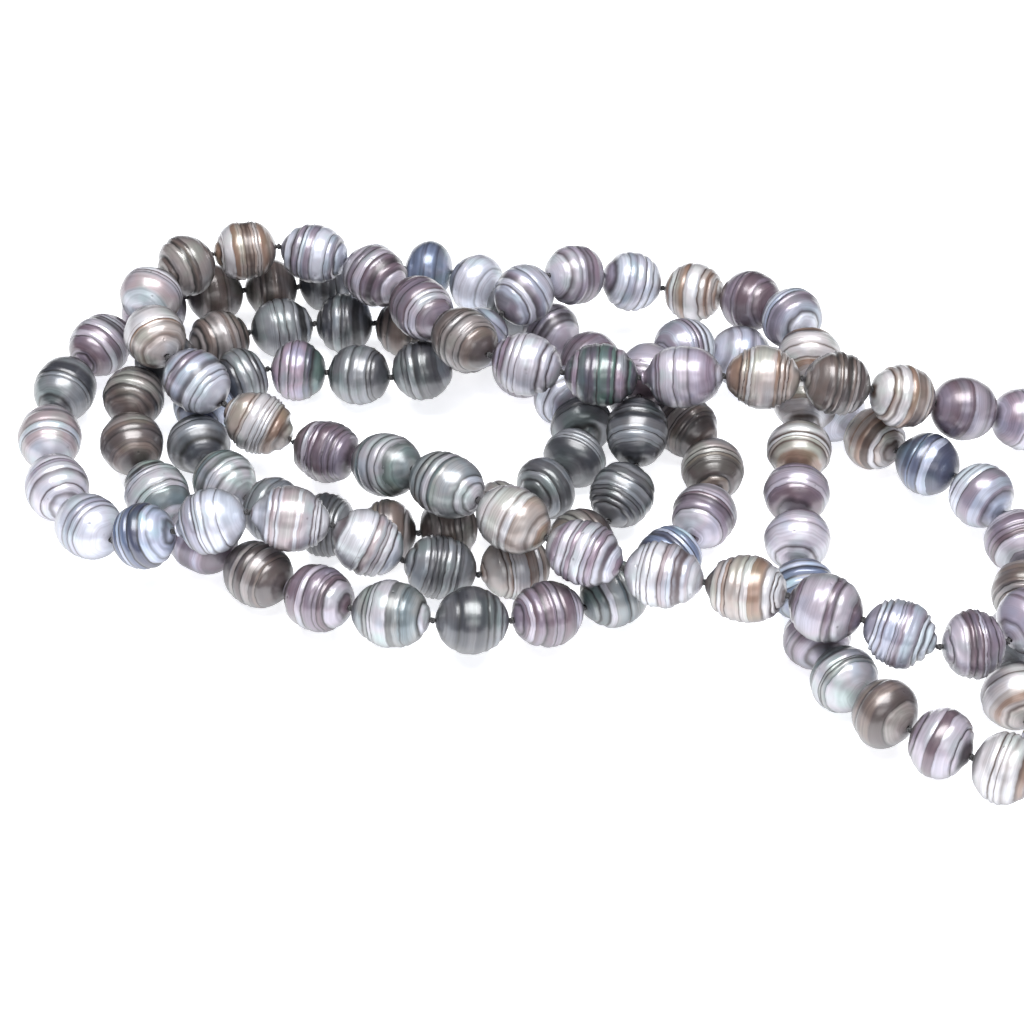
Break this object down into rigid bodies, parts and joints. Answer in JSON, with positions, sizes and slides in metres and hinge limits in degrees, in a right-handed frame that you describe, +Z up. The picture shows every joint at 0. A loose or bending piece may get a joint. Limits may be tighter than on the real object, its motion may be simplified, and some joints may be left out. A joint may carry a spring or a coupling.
{
  "type": "pearl necklace",
  "caption": "Long endless rope of grey ringed baroque pearls, knotted on silk between each, laid in flat nested turns with a loop across the top.",
  "frame": {"origin": "on the floor, under the middle of the laid rope's outline", "axes": "+X along the length of the laid turns, towards the end where the strands turn back; +Z up"},
  "size_m": [0.2012, 0.1367, 0.026],
  "materials": {
    "pearl": "glossy ringed nacre",
    "silk": "dark twisted silk"
  },
  "bodies": {
    "rope": {"inner_turn_pearls": "pearl", "outer_right_pearls": "pearl", "outer_centre_pearls": "pearl", "outer_front_pearls": "pearl", "outer_left_pearls": "pearl", "outer_back_pearls": "pearl", "middle_centre_pearls": "pearl", "middle_front_pearls": "pearl", "middle_back_pearls": "pearl", "inner_centre_pearls": "pearl", "inner_front_pearls": "pearl", "inner_left_pearls": "pearl", "inner_back_pearls": "pearl", "inner_right_pearls": "pearl", "inner_tail_pearls": "pearl", "outer_turn_pearls": "pearl", "rope_silk": "silk"},
    "top_fold_1": {"top_fold_1_silk": "silk"},
    "top_fold_2": {"top_fold_2_silk": "silk"},
    "top_fold_3": {"top_fold_3_silk": "silk"},
    "left_fold": {"left_fold_pearls": "pearl", "left_fold_silk": "silk"},
    "back_fold": {"back_fold_pearls": "pearl", "back_fold_silk": "silk"},
    "outer_turn_fold_1": {"outer_turn_fold_1_pearls": "pearl", "outer_turn_fold_1_silk": "silk"},
    "outer_turn_fold_2": {"outer_turn_fold_2_pearls": "pearl", "outer_turn_fold_2_silk": "silk"},
    "top_back_pearl_1": {"top_back_pearl_1": "pearl"},
    "top_back_pearl_2": {"top_back_pearl_2": "pearl"},
    "top_back_pearl_3": {"top_back_pearl_3": "pearl"},
    "top_back_pearl_4": {"top_back_pearl_4": "pearl"},
    "top_back_pearl_5": {"top_back_pearl_5": "pearl"},
    "top_back_pearl_6": {"top_back_pearl_6": "pearl"},
    "top_back_pearl_7": {"top_back_pearl_7": "pearl"},
    "top_back_pearl_8": {"top_back_pearl_8": "pearl"},
    "top_left_pearl_1": {"top_left_pearl_1": "pearl"},
    "top_left_pearl_2": {"top_left_pearl_2": "pearl"},
    "top_left_pearl_3": {"top_left_pearl_3": "pearl"},
    "top_left_pearl_4": {"top_left_pearl_4": "pearl"},
    "top_left_pearl_5": {"top_left_pearl_5": "pearl"},
    "top_left_pearl_6": {"top_left_pearl_6": "pearl"},
    "top_left_pearl_7": {"top_left_pearl_7": "pearl"},
    "top_left_pearl_8": {"top_left_pearl_8": "pearl"},
    "top_left_pearl_9": {"top_left_pearl_9": "pearl"},
    "top_left_pearl_10": {"top_left_pearl_10": "pearl"},
    "top_left_pearl_11": {"top_left_pearl_11": "pearl"},
    "top_left_pearl_12": {"top_left_pearl_12": "pearl"},
    "top_front_pearl_1": {"top_front_pearl_1": "pearl"},
    "top_front_pearl_2": {"top_front_pearl_2": "pearl"},
    "top_front_pearl_3": {"top_front_pearl_3": "pearl"},
    "top_front_pearl_4": {"top_front_pearl_4": "pearl"},
    "top_front_pearl_5": {"top_front_pearl_5": "pearl"},
    "top_front_pearl_6": {"top_front_pearl_6": "pearl"},
    "top_front_pearl_7": {"top_front_pearl_7": "pearl"},
    "top_front_pearl_8": {"top_front_pearl_8": "pearl"},
    "top_front_pearl_9": {"top_front_pearl_9": "pearl"}
  },
  "joints": [
    {"name": "top_fold_1_lift", "type": "hinge", "parent": "rope", "child": "top_fold_1", "pos_m": [-0.03305, 0.03186, 0.0179], "axis": [0.103, 0.991, 0.0855], "range_deg": [0, 30]},
    {"name": "top_fold_2_lift", "type": "hinge", "parent": "top_fold_1", "child": "top_fold_2", "pos_m": [-0.04886, 0.05092, 0.01646], "axis": [0.1873, 0.9591, 0.2122], "range_deg": [0, 20]},
    {"name": "top_fold_3_lift", "type": "hinge", "parent": "top_fold_2", "child": "top_fold_3", "pos_m": [-0.07185, 0.05161, 0.0174], "axis": [-0.1362, 0.9827, 0.1257], "range_deg": [0, 30]},
    {"name": "left_fold_lift", "type": "hinge", "parent": "rope", "child": "left_fold", "pos_m": [-0.09046, -0.00095, 0.0066], "axis": [0.0752, 0.9971, 0.014], "range_deg": [0, 40]},
    {"name": "back_fold_lift", "type": "hinge", "parent": "rope", "child": "back_fold", "pos_m": [-0.01573, 0.04638, 0.01687], "axis": [0.9895, -0.1299, -0.0635], "range_deg": [0, 40]},
    {"name": "outer_turn_fold_1_lift", "type": "hinge", "parent": "rope", "child": "outer_turn_fold_1", "pos_m": [0.08172, -0.05885, 0.00789], "axis": [-0.0644, -0.9972, 0.0388], "range_deg": [0, 35]},
    {"name": "outer_turn_fold_2_lift", "type": "hinge", "parent": "outer_turn_fold_1", "child": "outer_turn_fold_2", "pos_m": [0.09241, -0.03968, 0.00489], "axis": [-0.0895, -0.9954, -0.034], "range_deg": [0, 40]},
    {"name": "top_back_pearl_1_spin", "type": "hinge", "parent": "rope", "child": "top_back_pearl_1", "pos_m": [0.0603, 0.01826, 0.00933], "axis": [-0.9272, -0.1962, 0.3191], "continuous": true},
    {"name": "top_back_pearl_2_spin", "type": "hinge", "parent": "rope", "child": "top_back_pearl_2", "pos_m": [0.04999, 0.01625, 0.01311], "axis": [-0.9197, -0.1637, 0.3569], "continuous": true},
    {"name": "top_back_pearl_3_spin", "type": "hinge", "parent": "rope", "child": "top_back_pearl_3", "pos_m": [0.03965, 0.01465, 0.01703], "axis": [-0.9306, -0.122, 0.3451], "continuous": true},
    {"name": "top_back_pearl_4_spin", "type": "hinge", "parent": "rope", "child": "top_back_pearl_4", "pos_m": [0.02902, 0.0138, 0.02017], "axis": [-0.9754, -0.0297, 0.2185], "continuous": true},
    {"name": "top_back_pearl_5_spin", "type": "hinge", "parent": "rope", "child": "top_back_pearl_5", "pos_m": [0.01759, 0.01444, 0.02098], "axis": [-0.989, 0.1315, -0.0671], "continuous": true},
    {"name": "top_back_pearl_6_spin", "type": "hinge", "parent": "rope", "child": "top_back_pearl_6", "pos_m": [0.00507, 0.01635, 0.01952], "axis": [-0.9735, 0.1664, -0.157], "continuous": true},
    {"name": "top_back_pearl_7_spin", "type": "hinge", "parent": "rope", "child": "top_back_pearl_7", "pos_m": [-0.00751, 0.01806, 0.01851], "axis": [-0.9952, 0.0978, 0.0067], "continuous": true},
    {"name": "top_back_pearl_8_spin", "type": "hinge", "parent": "rope", "child": "top_back_pearl_8", "pos_m": [-0.01931, 0.02051, 0.0188], "axis": [-0.9505, 0.308, 0.0409], "continuous": true},
    {"name": "top_left_pearl_1_spin", "type": "hinge", "parent": "rope", "child": "top_left_pearl_1", "pos_m": [-0.02905, 0.02712, 0.01847], "axis": [-0.6421, 0.761, -0.0924], "continuous": true},
    {"name": "top_left_pearl_2_spin", "type": "hinge", "parent": "top_fold_1", "child": "top_left_pearl_2", "pos_m": [-0.03638, 0.03714, 0.01724], "axis": [-0.5292, 0.842, -0.1047], "continuous": true},
    {"name": "top_left_pearl_3_spin", "type": "hinge", "parent": "top_fold_1", "child": "top_left_pearl_3", "pos_m": [-0.04428, 0.04667, 0.01652], "axis": [-0.7335, 0.6796, -0.0101], "continuous": true},
    {"name": "top_left_pearl_4_spin", "type": "hinge", "parent": "top_fold_2", "child": "top_left_pearl_4", "pos_m": [-0.05481, 0.05264, 0.01675], "axis": [-0.9597, 0.277, 0.0469], "continuous": true},
    {"name": "top_left_pearl_5_spin", "type": "hinge", "parent": "top_fold_2", "child": "top_left_pearl_5", "pos_m": [-0.06631, 0.05298, 0.01722], "axis": [-0.9703, -0.24, 0.0314], "continuous": true},
    {"name": "top_left_pearl_6_spin", "type": "hinge", "parent": "top_fold_3", "child": "top_left_pearl_6", "pos_m": [-0.07583, 0.0483, 0.01747], "axis": [-0.7687, -0.6395, 0.0133], "continuous": true},
    {"name": "top_left_pearl_7_spin", "type": "hinge", "parent": "top_fold_3", "child": "top_left_pearl_7", "pos_m": [-0.08071, 0.03998, 0.01751], "axis": [-0.1774, -0.9841, -0.0052], "continuous": true},
    {"name": "top_left_pearl_8_spin", "type": "hinge", "parent": "top_fold_3", "child": "top_left_pearl_8", "pos_m": [-0.07906, 0.0299, 0.01699], "axis": [0.4487, -0.8895, -0.0866], "continuous": true},
    {"name": "top_left_pearl_9_spin", "type": "hinge", "parent": "top_fold_3", "child": "top_left_pearl_9", "pos_m": [-0.0718, 0.02114, 0.01476], "axis": [0.7551, -0.5935, -0.2787], "continuous": true},
    {"name": "top_left_pearl_10_spin", "type": "hinge", "parent": "top_fold_2", "child": "top_left_pearl_10", "pos_m": [-0.06161, 0.01563, 0.01064], "axis": [0.8776, -0.2908, -0.3812], "continuous": true},
    {"name": "top_left_pearl_11_spin", "type": "hinge", "parent": "top_fold_1", "child": "top_left_pearl_11", "pos_m": [-0.05077, 0.01094, 0.00883], "axis": [0.8768, -0.4713, 0.0956], "continuous": true},
    {"name": "top_left_pearl_12_spin", "type": "hinge", "parent": "top_fold_1", "child": "top_left_pearl_12", "pos_m": [-0.04094, 0.00367, 0.01225], "axis": [0.6517, -0.6374, 0.4111], "continuous": true},
    {"name": "top_front_pearl_1_spin", "type": "hinge", "parent": "rope", "child": "top_front_pearl_1", "pos_m": [-0.03142, -0.00518, 0.01591], "axis": [0.7431, -0.6582, 0.1212], "continuous": true},
    {"name": "top_front_pearl_2_spin", "type": "hinge", "parent": "rope", "child": "top_front_pearl_2", "pos_m": [-0.02135, -0.01312, 0.01612], "axis": [0.818, -0.5668, -0.0977], "continuous": true},
    {"name": "top_front_pearl_3_spin", "type": "hinge", "parent": "rope", "child": "top_front_pearl_3", "pos_m": [-0.01079, -0.01934, 0.01501], "axis": [0.8936, -0.4412, -0.0826], "continuous": true},
    {"name": "top_front_pearl_4_spin", "type": "hinge", "parent": "rope", "child": "top_front_pearl_4", "pos_m": [0.00059, -0.02396, 0.01488], "axis": [0.9496, -0.3072, 0.0623], "continuous": true},
    {"name": "top_front_pearl_5_spin", "type": "hinge", "parent": "rope", "child": "top_front_pearl_5", "pos_m": [0.01233, -0.02771, 0.01569], "axis": [0.9515, -0.2998, 0.0689], "continuous": true},
    {"name": "top_front_pearl_6_spin", "type": "hinge", "parent": "rope", "child": "top_front_pearl_6", "pos_m": [0.02341, -0.03177, 0.01587], "axis": [0.9195, -0.3906, -0.0446], "continuous": true},
    {"name": "top_front_pearl_7_spin", "type": "hinge", "parent": "rope", "child": "top_front_pearl_7", "pos_m": [0.03384, -0.03603, 0.01496], "axis": [0.925, -0.362, -0.1156], "continuous": true},
    {"name": "top_front_pearl_8_spin", "type": "hinge", "parent": "rope", "child": "top_front_pearl_8", "pos_m": [0.04399, -0.03746, 0.01421], "axis": [0.9921, 0.1243, -0.0198], "continuous": true},
    {"name": "top_front_pearl_9_spin", "type": "hinge", "parent": "rope", "child": "top_front_pearl_9", "pos_m": [0.05271, -0.03349, 0.01483], "axis": [0.7424, 0.655, 0.1407], "continuous": true}
  ]
}
